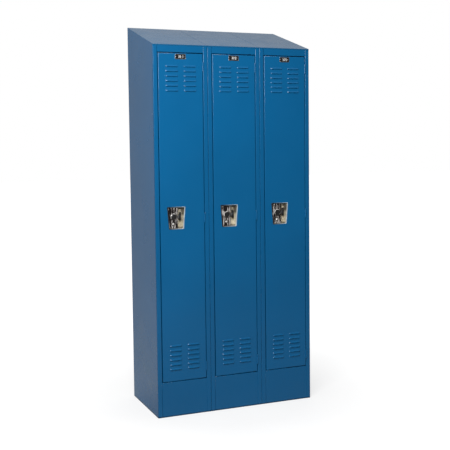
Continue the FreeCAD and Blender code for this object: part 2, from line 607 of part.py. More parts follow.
# ---- hinges and fasteners -----------------------------------------------------------------------
def knuckle_span(z, k):
    height = (HINGE_HEIGHT - (KNUCKLES - 1) * KNUCKLE_GAP) / KNUCKLES
    low = z - HINGE_HEIGHT / 2 + k * (height + KNUCKLE_GAP)
    return low, height


def hinge_leaf(z, on_frame):
    """A leaf with its knuckles: the frame leaf has the first, third and fifth, the door leaf the others."""
    own = [k for k in range(KNUCKLES) if (k % 2 == 0) == on_frame]
    x0 = DOOR_RIGHT + HINGE_GAP - LEAF_T if on_frame else DOOR_RIGHT
    half = HINGE_HEIGHT / 2
    leaf = box(x0, x0 + LEAF_T, HINGE_AXIS_Y, FRONT + LEAF_DEPTH, z - half, z + half)
    barrels, gaps = [], []
    for k in range(KNUCKLES):
        low, height = knuckle_span(z, k)
        centre = V(HINGE_AXIS_X, HINGE_AXIS_Y, low)
        if k in own:
            barrels.append(rod(centre, V(0, 0, 1), KNUCKLE_R, height))
        else:
            gaps.append(rod(centre - V(0, 0, KNUCKLE_GAP), V(0, 0, 1),
                            KNUCKLE_R + BARREL_CLEARANCE, height + 2 * KNUCKLE_GAP))
    foot = V(HINGE_AXIS_X, HINGE_AXIS_Y, z - HINGE_HEIGHT)
    bore = rod(foot, V(0, 0, 1), PIN_R + PIN_CLEARANCE, 2 * HINGE_HEIGHT)
    leaf = leaf.cut(gaps).fuse(barrels).cut([bore])
    if not on_frame:
        leaf = leaf.cut([rod(V(x0 - 5, RIVET_Y, z + dz), V(1, 0, 0), RIVET_HOLE_R, 10) for dz in RIVET_DZ])
    return leaf.removeSplitter()


def hinge_pin(z):
    """Hinge pin with a low button head on top."""
    low = z - HINGE_HEIGHT / 2
    shank = rod(V(HINGE_AXIS_X, HINGE_AXIS_Y, low), V(0, 0, 1), PIN_R, HINGE_HEIGHT + 0.2)
    head = rod(V(HINGE_AXIS_X, HINGE_AXIS_Y, low + HINGE_HEIGHT + 0.15), V(0, 0, 1), KNUCKLE_R - 0.6, 0.45)
    return shank.fuse([head]).removeSplitter()


def plate_rivet_holes():
    z = PLATE_TOP - PLATE_HEIGHT / 2
    return [rod(V(PLATE_CENTRE + dx, FRONT - 5, z), V(0, 1, 0), PLATE_RIVET_HOLE_R, 10)
            for dx in PLATE_RIVET_DX]


def rivet_holes():
    """Holes through the door for the hinge and number-plate rivets."""
    found = []
    for z in HINGE_Z:
        for dz in RIVET_DZ:
            found.append(rod(V(DOOR_RIGHT - 5, RIVET_Y, z + dz), V(1, 0, 0), RIVET_HOLE_R, 10))
    return found + plate_rivet_holes()


def door_rivets():
    """Hinge rivets headed inside the door's flange, and the number plate's two small rivets."""
    made = []
    for z in HINGE_Z:
        for dz in RIVET_DZ:
            inner = DOOR_RIGHT - FRAME_T
            shank = rod(V(inner, RIVET_Y, z + dz), V(1, 0, 0), RIVET_R, FRAME_T + LEAF_T)
            head = rod(V(inner - RIVET_HEAD_T, RIVET_Y, z + dz), V(1, 0, 0), RIVET_HEAD_R, RIVET_HEAD_T)
            rim = [e for e in head.Edges if e.BoundBox.XMax < inner - RIVET_HEAD_T + 0.1]
            made.append(shank.fuse([head.makeFillet(1.1, rim)]).removeSplitter())
    z = PLATE_TOP - PLATE_HEIGHT / 2
    for dx in PLATE_RIVET_DX:
        front = FRONT - PLATE_T
        shank = rod(V(PLATE_CENTRE + dx, front, z), V(0, 1, 0), PLATE_RIVET_R, PLATE_T + FRAME_T)
        head = rod(V(PLATE_CENTRE + dx, front - PLATE_RIVET_HEAD_T, z), V(0, 1, 0),
                   PLATE_RIVET_HEAD_R, PLATE_RIVET_HEAD_T)
        rim = [e for e in head.Edges if e.BoundBox.YMax < front - PLATE_RIVET_HEAD_T + 0.1]
        made.append(shank.fuse([head.makeFillet(0.7, rim)]).removeSplitter())
    return made


def number_plate():
    """Blank number plate with rounded corners and a raised border."""
    x0, x1 = PLATE_CENTRE - PLATE_WIDTH / 2, PLATE_CENTRE + PLATE_WIDTH / 2
    z0, z1 = PLATE_TOP - PLATE_HEIGHT, PLATE_TOP

    def layer(inset, low, high, radius):
        corners = [(x0 + inset, z0 + inset), (x1 - inset, z0 + inset),
                   (x1 - inset, z1 - inset), (x0 + inset, z1 - inset)]
        return plate("XZ", corners, FRONT + low, FRONT + high, radius)
    border = layer(0, -PLATE_T, 0, 3.0).cut([layer(PLATE_BORDER, -PLATE_T - 1, -PLATE_T + 0.3, 1.6)])
    return border.cut(plate_rivet_holes())


def latch_hook(z):
    """Frame hook on the strike lip: a plate whose nose turns up for the spring latch."""
    y0, y1 = FRONT + 10.5, FRONT + STRIKE_DEPTH
    outline = [(y1, z), (y0 + 3, z + 4), (y0, z + 9), (y0, z + HOOK_HEIGHT), (y0 + 3.4, z + HOOK_HEIGHT),
               (y0 + 4.2, z + 13), (y1 - 3.5, z + 13), (y1, z + 18)]
    return plate("YZ", outline, HOOK_LEFT, HOOK_LEFT + HOOK_T)


def hook_bumper(z):
    """Rubber silencer on the strike beside a hook."""
    x0 = DOOR_LEFT + 0.6
    y1 = FRONT + STRIKE_DEPTH
    block = box(x0, x0 + 10.5, FRONT + DOOR_DEPTH + 0.4, y1, z + HOOK_HEIGHT + 6, z + HOOK_HEIGHT + 22)
    return block.makeFillet(1.2, [e for e in block.Edges if e.BoundBox.YMax < y1 - 1])


# ---- coat hooks ---------------------------------------------------------------------------------
def ceiling_hook():
    """Double-prong hook bolted under the shelf."""
    x, y = BAY_INSIDE / 2, CEILING_HOOK_Y
    top = SHELF_Z - BODY_T
    wide, deep, thick = CEILING_PAD
    corners = [(x + a * wide / 2, y + b * deep / 2) for a, b in ((-1, -1), (1, -1), (1, 1), (-1, 1))]
    pad = plate("XY", corners, top - thick, top, 4.0)
    prongs = []
    for side in (-1, 1):
        root, tip = x + side * PRONG_IN, x + side * PRONG_OUT
        route = [V(root, y, top - thick / 2), V(root, y, top - PRONG_DROP),
                 V(tip, y, top - PRONG_DROP), V(tip, y, top - PRONG_TIP)]
        prongs.append(bent_rod(route, HOOK_ROD_R, [12.0, 12.0]))
    hook = pad.fuse(prongs).removeSplitter()
    return hook.cut([rod(V(x, y, top - 10), V(0, 0, 1), BOLT_HOLE_R, 20)])


def hook_fasteners():
    """The ceiling hook's bolt and nut."""
    x, y = BAY_INSIDE / 2, CEILING_HOOK_Y
    top = SHELF_Z
    head = rod(V(x, y, top), V(0, 0, 1), BOLT_HEAD_R, BOLT_HEAD_T)
    head = head.makeFillet(1.4, [e for e in head.Edges if e.BoundBox.ZMin > top + 2])
    bolt = head.fuse([rod(V(x, y, top - BOLT_REACH), V(0, 0, 1), BOLT_R, BOLT_REACH)]).removeSplitter()
    angles = [math.radians(60 * k) for k in range(6)]
    corners = [(x + NUT_R * math.cos(a), y + NUT_R * math.sin(a)) for a in angles]
    low = top - BODY_T - CEILING_PAD[2] - NUT_T
    nut = plate("XY", corners, low, low + NUT_T)
    nut = nut.cut([rod(V(x, y, low - 1), V(0, 0, 1), NUT_BORE_R, NUT_T + 2)])
    return [bolt, nut]


def wall_hook(centre, outward):
    """Single-prong hook: a pad on a wall or back and one upturned prong."""
    across = V(-outward.y, outward.x, 0)
    wide, high, thick = WALL_PAD
    corners = [centre + across * (a * wide / 2) + V(0, 0, b * high / 2)
               for a, b in ((-1, -1), (1, -1), (1, 1), (-1, 1))]
    pad = outline_face(corners, [5.0] * 4).extrude(outward * thick)
    root, elbow, tip = (centre + outward * out + V(0, 0, up) for out, up in ((2, 4), (26, -8), (33, 16)))
    route = [root, elbow, tip]
    return pad.fuse([bent_rod(route, HOOK_ROD_R, [9.0])]).removeSplitter()


def wall_hooks():
    return [wall_hook(V(0, WALL_HOOK_Y, WALL_HOOK_Z), V(1, 0, 0)),
            wall_hook(V(BAY_INSIDE, WALL_HOOK_Y, WALL_HOOK_Z), V(-1, 0, 0)),
            wall_hook(V(BAY_INSIDE / 2, BACK - BODY_T, WALL_HOOK_Z), V(0, -1, 0))]


# ---- build --------------------------------------------------------------------------------------
def build_cabinet():
    save("side_panel_left", wall(WALL_X[0], 1, True))
    save("side_panel_right", wall(WALL_X[3], -1, True))
    save("partition_left", wall(WALL_X[1], 1, False))
    save("partition_right", wall(WALL_X[2], -1, False))
    floor = tray(FLOOR_Z, FRONT + STRIKE_DEPTH + FRAME_T + 0.3, PANEL_BACK, FRAME_T + 0.2, PANEL_FLANGE)
    shelf = tray(SHELF_Z, SHELF_FRONT, PANEL_BACK, 0.0, PANEL_FLANGE)
    shelf = shelf.cut([rod(V(BAY_INSIDE / 2, CEILING_HOOK_Y, SHELF_Z - 5), V(0, 0, 1), BOLT_HOLE_R, 10)])
    roof, frame, plinth = slope_top(), door_frame(), base_front()
    for i, bay in enumerate(BAYS):
        x = BAY_LEFT[i]
        save("back_panel_" + bay, back_panel(i))
        save("slope_top_" + bay, moved([roof], x))
        save("floor_panel_" + bay, moved([floor], x))
        save("hat_shelf_" + bay, moved([shelf], x))
        save("door_frame_" + bay, moved(frame, x))
        save("base_front_" + bay, moved([plinth], x))
    groups = {
        "ceiling_hooks": [ceiling_hook()],
        "hook_fasteners": hook_fasteners(),
        "wall_hooks": wall_hooks(),
        "latch_hooks": [latch_hook(z) for z in LATCH_HOOK_Z],
        "hook_bumpers": [hook_bumper(z) for z in LATCH_HOOK_Z],
        "hinge_frame_leaves": [hinge_leaf(z, True) for z in HINGE_Z],
        "hinge_pins": [hinge_pin(z) for z in HINGE_Z],
    }
    for name, solids in groups.items():
        save(name, [s for x in BAY_LEFT for s in moved(solids, x)])


def build_doors():
    pieces = {
        "door_panel": [door_panel()],
        "hinge_door_leaves": [hinge_leaf(z, False) for z in HINGE_Z],
        "handle_pocket": [handle_pocket()],
        "lock_plate": [lock_plate()],
        "bar_guides": [bar_guide(z) for z in GUIDE_Z],
        "number_plate": [number_plate()],
        "door_rivets": door_rivets(),
        "lock_bar": [lock_bar()],
        "spring_latches": [spring_latch(z) for z in LATCH_HOOK_Z],
        "lift_trigger": [lift_trigger()],
    }
    for i, bay in enumerate(BAYS):
        for name, solids in pieces.items():
            save(f"{name}_{bay}", moved(solids, BAY_LEFT[i]))


os.makedirs("parts", exist_ok=True)
build_cabinet()
build_doors()
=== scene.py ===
"""Looks for the three-wide locker cabinet: enamel, stainless handles, number plates, light and camera."""

import math
import bmesh
import bpy
from mathutils import Matrix, Vector

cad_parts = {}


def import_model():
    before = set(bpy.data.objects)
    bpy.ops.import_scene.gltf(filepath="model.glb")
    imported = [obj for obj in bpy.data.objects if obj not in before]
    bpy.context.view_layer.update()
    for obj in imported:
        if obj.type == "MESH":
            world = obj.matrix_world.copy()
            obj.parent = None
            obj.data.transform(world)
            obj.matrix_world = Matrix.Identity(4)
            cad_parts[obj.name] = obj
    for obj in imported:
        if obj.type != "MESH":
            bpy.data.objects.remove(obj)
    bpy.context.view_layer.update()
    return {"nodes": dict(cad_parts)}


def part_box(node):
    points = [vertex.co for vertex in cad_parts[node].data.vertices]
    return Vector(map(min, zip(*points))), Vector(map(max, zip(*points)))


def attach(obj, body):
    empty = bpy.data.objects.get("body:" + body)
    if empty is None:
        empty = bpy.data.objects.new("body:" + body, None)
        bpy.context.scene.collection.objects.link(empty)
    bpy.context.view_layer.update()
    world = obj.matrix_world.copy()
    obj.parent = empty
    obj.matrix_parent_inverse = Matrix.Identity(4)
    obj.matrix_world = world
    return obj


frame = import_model()
BAYS = ("left", "centre", "right")
FRONT_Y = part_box("door_frame_left")[0].y
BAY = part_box("handle_pocket_centre")[0].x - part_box("handle_pocket_left")[0].x
HANDLE_LOW, HANDLE_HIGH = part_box("handle_pocket_left")
HANDLE_X = (HANDLE_LOW.x + HANDLE_HIGH.x) / 2
HANDLE_TALL = HANDLE_HIGH.z - HANDLE_LOW.z
LOCK_FACE_DEPTH = 0.006                        # shallow lock face behind the door's face
RING_HEIGHT = 0.0026
RING_DX = -0.012                               # ring's centre from the handle's middle
RING_UP = 0.066                                # ring's centre above the handle's foot
RING_R = 0.0185
RING_BORE_R = 0.0153
FIXING_DX = RING_DX - 0.004
FIXING_UP = 0.0285
CAP_R = 0.0129
LOCK_PLATE_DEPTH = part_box("lock_plate_left")[0].y + RING_HEIGHT - FRONT_Y

# ---- colours ------------------------------------------------------------------------------------
POLISHED = (0.85, 0.84, 0.82, 1)
SCUFF_HAZE = (0.17, 0.25, 0.30, 1)
CUP = (0.80, 0.73, 0.56, 1)
CUP_DULL = (0.34, 0.29, 0.21, 1)
CUP_PAINTED_SHADE = (0.05, 0.042, 0.030, 1)
LOCK_FACE_PAINTED_SHADE = (0.02, 0.02, 0.02, 1)
RIM_DARK_REFLECTION = (0.05, 0.06, 0.07, 1)
RIM_LIGHT_REFLECTION = (0.60, 0.78, 0.92, 1)
LOCK_DARK = (0.10, 0.080, 0.080, 1)
LOCK_PAINTED_STREAKS = (0.80, 0.75, 0.72, 1)
LOCK_PAINTED_SHADE = (0.05, 0.045, 0.04, 1)
RING_DULL = (0.16, 0.14, 0.13, 1)
RING_PAINTED_HIGHLIGHT = (0.92, 0.90, 0.88, 1)
BORE_PAINTED_SHADE = (0.05, 0.05, 0.045, 1)
FIXING_PAINTED_HIGHLIGHT = (0.85, 0.82, 0.78, 1)
FLOOR_DARK = (0.28, 0.28, 0.28, 1)
FLOOR_LIGHT = (0.31, 0.31, 0.31, 1)
WHITE = (1, 1, 1, 1)


# ---- material helpers ---------------------------------------------------------------------------
class Shader:
    """A material's node tree, with short calls for the nodes used here."""

    def __init__(self, name):
        self.material = bpy.data.materials.new(name)
        self.material.use_nodes = True
        self.tree = self.material.node_tree
        self.bsdf = next(n for n in self.tree.nodes if n.type == "BSDF_PRINCIPLED")
        self.coords = self.tree.nodes.new("ShaderNodeTexCoord").outputs["Object"]

    def put(self, socket, value):
        """Links a socket to another one, or sets its value."""
        if isinstance(value, bpy.types.NodeSocket):
            self.tree.links.new(value, socket)
        elif value is not None:
            socket.default_value = value

    def set(self, **values):
        """Fills inputs of the principled shader by name."""
        for name, value in values.items():
            self.put(self.bsdf.inputs[name.replace("_", " ")], value)
        return self

    def scaled(self, vector, scale):
        node = self.tree.nodes.new("ShaderNodeMapping")
        self.put(node.inputs["Vector"], vector)
        node.inputs["Scale"].default_value = scale
        return node.outputs[0]

    def noise(self, scale, detail=3.0, stretch=(1, 1, 1), roughness=0.5):
        node = self.tree.nodes.new("ShaderNodeTexNoise")
        self.put(node.inputs["Vector"], self.scaled(self.coords, stretch))
        node.inputs["Scale"].default_value = scale
        node.inputs["Detail"].default_value = detail
        node.inputs["Roughness"].default_value = roughness
        return node.outputs["Fac"]

    def remap(self, value, low, high, to_low, to_high):
        node = self.tree.nodes.new("ShaderNodeMapRange")
        for socket, v in zip(node.inputs, (value, low, high, to_low, to_high)):
            self.put(socket, v)
        return node.outputs[0]

    def math(self, operation, a, b=None):
        node = self.tree.nodes.new("ShaderNodeMath")
        node.operation = operation
        self.put(node.inputs[0], a)
        self.put(node.inputs[1], b)
        return node.outputs[0]

    def distance(self, a, b):
        """Length of the flat vector (a, b)."""
        return self.math("SQRT", self.math("ADD", self.math("MULTIPLY", a, a), self.math("MULTIPLY", b, b)))

    def mix(self, factor, a, b):
        """Colour a where the factor is 0, b where it is 1."""
        node = self.tree.nodes.new("ShaderNodeMix")
        node.data_type = "RGBA"
        self.put(node.inputs["Factor"], factor)
        self.put(node.inputs[6], a)
        self.put(node.inputs[7], b)
        return node.outputs[2]

    def in_handle(self):
        """Position from the middle of a handle's foot: (across, behind the door's face, up)."""
        place = self.tree.nodes.new("ShaderNodeSeparateXYZ")
        self.put(place.inputs[0], self.coords)
        across = self.math("WRAP", self.math("SUBTRACT", place.outputs["X"], HANDLE_X), BAY / 2)
        across.node.inputs[2].default_value = -BAY / 2
        depth = self.math("SUBTRACT", place.outputs["Y"], FRONT_Y)
        return across, depth, self.math("SUBTRACT", place.outputs["Z"], HANDLE_LOW.z)

    def edge(self, radius):
        """1 along sharp edges, 0 on flat faces."""
        bevel = self.tree.nodes.new("ShaderNodeBevel")
        bevel.samples = 4
        bevel.inputs["Radius"].default_value = radius
        geometry = self.tree.nodes.new("ShaderNodeNewGeometry")
        dot = self.tree.nodes.new("ShaderNodeVectorMath")
        dot.operation = "DOT_PRODUCT"
        self.put(dot.inputs[0], bevel.outputs[0])
        self.put(dot.inputs[1], geometry.outputs["Normal"])
        return self.remap(dot.outputs["Value"], 0.995, 0.85, 0.0, 1.0)

    def bump(self, height, distance, strength=1.0):
        node = self.tree.nodes.new("ShaderNodeBump")
        node.inputs["Distance"].default_value = distance
        node.inputs["Strength"].default_value = strength
        self.put(node.inputs["Height"], height)
        self.put(self.bsdf.inputs["Normal"], node.outputs[0])
        return self


def toned(colour, factor, lift=0.0):
    """A lighter or darker shade of a colour."""
    return [min(1.0, c * factor + lift) for c in colour[:3]] + [1]


def enamel(name, colour, roughness, worn, clouds=0.0):
    """Baked enamel on sheet steel: slight orange peel, waviness, uneven gloss and thin wear on the bends."""
    s = Shader(name)
    shade = s.remap(s.noise(2.2, 2.0), 0.3, 0.7, 0.0, 1.0)
    paint = s.mix(shade, toned(colour, 0.95), toned(colour, 1.05))
    specks = s.remap(s.noise(900.0, 2.0), 0.68, 0.74, 0.0, 0.04)
    paint = s.mix(specks, paint, toned(colour, 1.5, 0.01))
    wear = s.math("MULTIPLY", s.edge(0.0012), s.remap(s.noise(60.0, 3.0), 0.45, 0.62, 0.0, worn))
    paint = s.mix(wear, paint, toned(colour, 1.5, 0.015))
    gloss = s.remap(s.noise(9.0, 4.0), 0.3, 0.7, roughness - 0.02, roughness + 0.04)
    height = s.tree.nodes.new("ShaderNodeSeparateXYZ")
    s.put(height.inputs[0], s.coords)
    # painted shade along the floor: the paint darkens towards a fifth of its colour in the lowest 9 mm
    foot = s.remap(height.outputs["Z"], 0.003, 0.009, 0.8, 0.0)
    paint = s.mix(foot, paint, toned(colour, 0.2))
    if clouds:
        low = s.remap(height.outputs["Z"], 0.05, 0.55, 1.0, 0.0)
        patch = s.remap(s.noise(7.0, 5.0, (1, 1, 1.6)), 0.50, 0.66, 0.0, clouds)
        haze = s.math("MULTIPLY", low, patch)
        paint = s.mix(haze, paint, SCUFF_HAZE)
        gloss = s.math("ADD", gloss, s.math("MULTIPLY", haze, 0.35))
    peel = s.math("MULTIPLY", s.noise(420.0, 2.0), 0.012)
    waves = s.noise(3.2, 1.0)
    s.set(Base_Color=paint, Roughness=gloss, Metallic=0.0, IOR=1.5)
    return s.bump(s.math("ADD", peel, waves), 0.0012).material


def steel(name, colour, roughness, stretch=(1, 1, 30), grain=220.0, dirt=0.25):
    """Metal with a drawn grain, uneven polish, darker film in patches and bright edges."""
    s = Shader(name)
    lines = s.noise(grain, 4.0, stretch)
    patches = s.noise(26.0, 4.0)
    film_and_painted_shade = s.remap(patches, 0.45, 0.75, 0.0, dirt)
    base = s.mix(film_and_painted_shade, toned(colour, 1.0), toned(colour, 0.45))
    base = s.mix(s.math("MULTIPLY", s.edge(0.0006), 0.35), base, POLISHED)
    polish = s.remap(s.math("ADD", s.math("MULTIPLY", lines, 0.6), s.math("MULTIPLY", patches, 0.4)),
                     0.3, 0.7, roughness - 0.05, roughness + 0.10)
    s.set(Base_Color=base, Roughness=polish, Metallic=1.0)
    return s.bump(lines, 0.00003).material


def handle_steel():
    """Drawn stainless: rim with a painted reflection, dark on its left and light on its right; brushed cup
    with painted shade in its top and bottom corners and by its right wall; painted shade behind the lock.
    """
    s = Shader("stainless_handle")
    across, depth, up = s.in_handle()
    rim = s.remap(depth, 0.0002, 0.0012, 1.0, 0.0)
    # painted shade: the lock face behind the lock plate is dark, so its slots read dark
    film_and_painted_shade = s.math("COMPARE", depth, LOCK_FACE_DEPTH)
    film_and_painted_shade.node.inputs[2].default_value = 0.0004
    # painted shade in the cup's top and bottom corners, deeper in the cup
    low_corner = s.remap(up, 0.008, 0.014, 1.0, 0.0)
    high_corner = s.remap(up, HANDLE_TALL - 0.018, HANDLE_TALL - 0.008, 0.0, 1.0)
    corner = s.math("MAXIMUM", low_corner, high_corner)
    painted_shade = s.math("MULTIPLY", corner, s.remap(depth, 0.002, 0.006, 0.0, 0.8))
    # painted reflection on the rim: dark on its left, light and bluish on its right
    painted_highlight = s.remap(across, -0.040, 0.042, 0.0, 1.0)
    # painted shade by the cup's right wall, in its upper part
    right_wall_shade = s.math("MULTIPLY", s.remap(across, 0.031, 0.036, 0.0, 1.0), s.remap(up, 0.066, 0.080, 0.0, 0.85))
    painted_shade = s.math("MAXIMUM", painted_shade, s.math("MULTIPLY", right_wall_shade, s.remap(depth, 0.001, 0.003, 0.0, 1.0)))
    patches = s.noise(26.0, 4.0)
    lines = s.noise(300.0, 4.0, (1, 1, 14))
    base = s.mix(s.remap(patches, 0.45, 0.75, 0.0, 0.25), CUP, CUP_DULL)
    base = s.mix(film_and_painted_shade, base, LOCK_FACE_PAINTED_SHADE)
    base = s.mix(painted_shade, base, CUP_PAINTED_SHADE)
    base = s.mix(rim, base, s.mix(painted_highlight, RIM_DARK_REFLECTION, RIM_LIGHT_REFLECTION))
    base = s.mix(s.math("MULTIPLY", s.edge(0.0006), 0.25), base, POLISHED)
    brushed = s.remap(lines, 0.3, 0.7, 0.24, 0.38)
    polish = s.math("SUBTRACT", brushed, s.math("MULTIPLY", rim, 0.14))
    metal = s.remap(patches, 0.35, 0.65, 0.25, 0.55)
    s.set(Base_Color=base, Roughness=polish, Metallic=metal)
    return s.bump(lines, 0.00002).material


def lock_steel():
    """Lock plate: upright streaks with scratch relief, the lighter ones painted reflections; painted
    highlights on the ring's upper left, on the raised parts below it and on its fixing; painted shade round
    the ring and the fixing and in the ring's bore.
    """
    s = Shader("stainless_lock")
    across, depth, up = s.in_handle()
    raised = s.remap(depth, LOCK_PLATE_DEPTH - 0.0012, LOCK_PLATE_DEPTH - 0.0004, 1.0, 0.0)
    dx = s.math("SUBTRACT", across, RING_DX)
    dz = s.math("SUBTRACT", up, RING_UP)
    # painted highlight on the raised ring at its upper left and on the raised parts below it
    upper_left = s.remap(s.math("SUBTRACT", dz, dx), 0.002, 0.014, 0.0, 1.0)
    below_ring = s.remap(dz, -0.030, -0.026, 1.0, 0.0)
    bright = s.math("MULTIPLY", raised, s.math("MAXIMUM", upper_left, below_ring))
    away = s.distance(dx, dz)
    # painted shade in the ring's bore
    bore = s.remap(away, RING_BORE_R - 0.0001, RING_BORE_R + 0.0004, 1.0, 0.0)
    # painted highlight on the fixing
    fixing = s.distance(s.math("SUBTRACT", across, FIXING_DX), s.math("SUBTRACT", up, FIXING_UP))
    painted_highlight = s.remap(fixing, 0.0055, 0.0070, 1.0, 0.0)
    # painted shade round the raised ring and round the fixing
    round_ring = s.remap(away, RING_R + 0.001, RING_R + 0.004, 0.75, 0.0)
    round_fixing = s.remap(fixing, 0.0100, 0.0130, 0.75, 0.0)
    shade = s.math("MAXIMUM", round_ring, round_fixing)
    # upright streaks: real scratch relief, and the lighter streaks are painted reflections, less metallic
    streaks = s.noise(150.0, 2.0, (1, 1, 0.14))
    painted_streaks = s.remap(streaks, 0.50, 0.60, 0.0, 1.0)
    base = s.mix(painted_streaks, LOCK_DARK, LOCK_PAINTED_STREAKS)
    base = s.mix(shade, base, LOCK_PAINTED_SHADE)
    base = s.mix(raised, base, RING_DULL)
    base = s.mix(painted_highlight, base, FIXING_PAINTED_HIGHLIGHT)
    base = s.mix(bright, base, RING_PAINTED_HIGHLIGHT)
    base = s.mix(bore, base, BORE_PAINTED_SHADE)
    polish = s.remap(s.noise(260.0, 3.0, (1, 1, 8)), 0.3, 0.7, 0.18, 0.32)
    polish = s.math("MAXIMUM", polish, s.math("MULTIPLY", bore, 0.55))
    painted_glints = s.math("MAXIMUM", bright, painted_highlight)
    metal = s.math("SUBTRACT", s.remap(painted_streaks, 0.0, 1.0, 0.95, 0.40), s.math("MULTIPLY", painted_glints, 0.40))
    s.set(Base_Color=base, Roughness=polish, Metallic=metal)
    return s.bump(streaks, 0.0002).material


def plastic(name, colour, roughness, grain=700.0, depth=0.00005, scuff=0.3):
    """Moulded plastic or rubber: fine grain, scuffed edges and a little dust."""
    s = Shader(name)
    dust = s.remap(s.noise(40.0, 4.0), 0.35, 0.7, 0.0, 1.0)
    base = s.mix(dust, toned(colour, 1.0), toned(colour, 1.25, 0.006))
    base = s.mix(s.math("MULTIPLY", s.edge(0.0008), scuff), base, toned(colour, 1.8, 0.05))
    gloss = s.remap(s.noise(120.0, 3.0), 0.3, 0.7, roughness - 0.06, roughness + 0.10)
    s.set(Base_Color=base, Roughness=gloss, Metallic=0.0)
    return s.bump(s.noise(grain, 3.0), depth).material


MATERIALS = {
    "door": enamel("door_enamel", (0.0022, 0.124, 0.312, 1), 0.22, 0.25),
    "frame": enamel("frame_enamel", (0.0025, 0.118, 0.296, 1), 0.22, 0.3),
    # the slope top's copy of the blue enamel is greyer: a painted reflection of the bright backdrop
    "roof": enamel("roof_enamel_greyed_as_reflection", (0.006, 0.106, 0.245, 1), 0.26, 0.3),
    "side": enamel("side_enamel", (0.0035, 0.104, 0.262, 1), 0.24, 0.2, clouds=0.35),
    "body": enamel("body_enamel", (0.0035, 0.110, 0.270, 1), 0.28, 0.3),
    "cup": handle_steel(),
    "lock": lock_steel(),
    "zinc": steel("zinc_plate", (0.62, 0.63, 0.65), 0.28, stretch=(1, 1, 1), grain=90.0, dirt=0.35),
    "frame_steel": steel("hook_steel", (0.52, 0.53, 0.55), 0.32, stretch=(1, 1, 6), grain=160.0, dirt=0.4),
    "pin_steel": steel("pin_steel", (0.50, 0.50, 0.52), 0.25, stretch=(1, 1, 10), grain=200.0),
    "rivet_steel": steel("rivet_steel", (0.56, 0.56, 0.57), 0.30, stretch=(1, 1, 1), grain=400.0),
    "spring_steel": steel("spring_steel", (0.30, 0.31, 0.35), 0.30, stretch=(20, 1, 1), grain=250.0),
    "figures": plastic("pale_figures", (0.62, 0.63, 0.62), 0.35, grain=1200.0, depth=0.00002, scuff=0.1),
    "plate_rim": steel("plate_rim", (0.34, 0.35, 0.35), 0.34, stretch=(1, 1, 24), grain=500.0, dirt=0.3),
    "black": plastic("black_abs", (0.012, 0.012, 0.013), 0.36),
    "inlay": plastic("black_inlay", (0.010, 0.010, 0.012), 0.25, grain=1200.0, depth=0.00002, scuff=0.1),
    "white": plastic("white_guide", (0.72, 0.72, 0.68), 0.42, scuff=0.1),
    "rubber": plastic("black_rubber", (0.022, 0.022, 0.022), 0.62, grain=500.0, depth=0.0001),
}
FINISH = {
    "side_panel": "side", "partition": "body", "back_panel": "body", "slope_top": "roof",
    "door_frame": "frame", "base_front": "frame", "floor_panel": "body", "hat_shelf": "body",
    "ceiling_hooks": "zinc", "hook_fasteners": "zinc", "wall_hooks": "zinc",
    "latch_hooks": "frame_steel", "hook_bumpers": "rubber",
    "hinge_frame_leaves": "frame", "hinge_pins": "pin_steel", "hinge_door_leaves": "door",
    "door_panel": "door", "number_plate": "plate_rim", "door_rivets": "rivet_steel",
    "handle_pocket": "cup", "lock_plate": "lock", "lift_trigger": "black",
    "lock_bar": "zinc", "spring_latches": "spring_steel", "bar_guides": "white",
}


def finish_nodes():
    """Gives every carried-over part its material and smooth bends."""
    for name, obj in frame["nodes"].items():
        kind = next(k for k in FINISH if name.startswith(k))
        obj.data.materials.clear()
        obj.data.materials.append(MATERIALS[FINISH[kind]])
        weld = obj.modifiers.new("weld", "WELD")
        weld.merge_threshold = 1e-6
        smooth(obj)


def smooth(obj, degrees=32):
    """Smooth bends between faces that stay flat."""
    mesh = obj.data
    if mesh.has_custom_normals:
        mesh.attributes.remove(mesh.attributes["custom_normal"])
    mesh.shade_smooth()
    mesh.set_sharp_from_angle(angle=math.radians(degrees))
    weighted = obj.modifiers.new("flat_faces", "WEIGHTED_NORMAL")
    weighted.keep_sharp = True
    weighted.weight = 90


# ---- extra pieces -------------------------------------------------------------------------------
def new_piece(name, build, material, body):
    """A Blender piece from a function that fills a bmesh, riding on a body."""
    work = bmesh.new()
    build(work)
    bmesh.ops.recalc_face_normals(work, faces=work.faces)
    mesh = bpy.data.meshes.new(name)
    work.to_mesh(mesh)
    work.free()
    mesh.materials.append(material)
    mesh.shade_smooth()
    mesh.set_sharp_from_angle(angle=math.radians(35))
    obj = bpy.data.objects.new(name, mesh)
    bpy.context.scene.collection.objects.link(obj)
    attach(obj, body)
    return obj


def rounded_outline(x0, x1, z0, z1, radius, steps=6):
    """Points round a rectangle with rounded corners, seen from the front."""
    points = []
    for cx, cz, start in ((x1 - radius, z1 - radius, 0), (x0 + radius, z1 - radius, 90),
                          (x0 + radius, z0 + radius, 180), (x1 - radius, z0 + radius, 270)):
        for k in range(steps + 1):
            a = math.radians(start + 90 * k / steps)
            points.append((cx + radius * math.cos(a), cz + radius * math.sin(a)))
    return points


def slab(work, outline, y_front, y_back, chamfer):
    """A flat plate seen from the front, chamfered round its front face."""
    cx = sum(p[0] for p in outline) / len(outline)
    cz = sum(p[1] for p in outline) / len(outline)

    def ring(y, inset):
        made = []
        for x, z in outline:
            away = Vector((x - cx, z - cz))
            away = away * (1 - inset / max(away.length, 1e-6))
            made.append(work.verts.new((cx + away.x, y, cz + away.y)))
        return made
    rings = [ring(y_back, 0), ring(y_front + chamfer, 0), ring(y_front, chamfer)]
    count = len(outline)
    for a, b in zip(rings, rings[1:]):
        for i in range(count):
            work.faces.new((a[i], a[(i + 1) % count], b[(i + 1) % count], b[i]))
    work.faces.new(rings[0])
    work.faces.new(rings[-1][::-1])


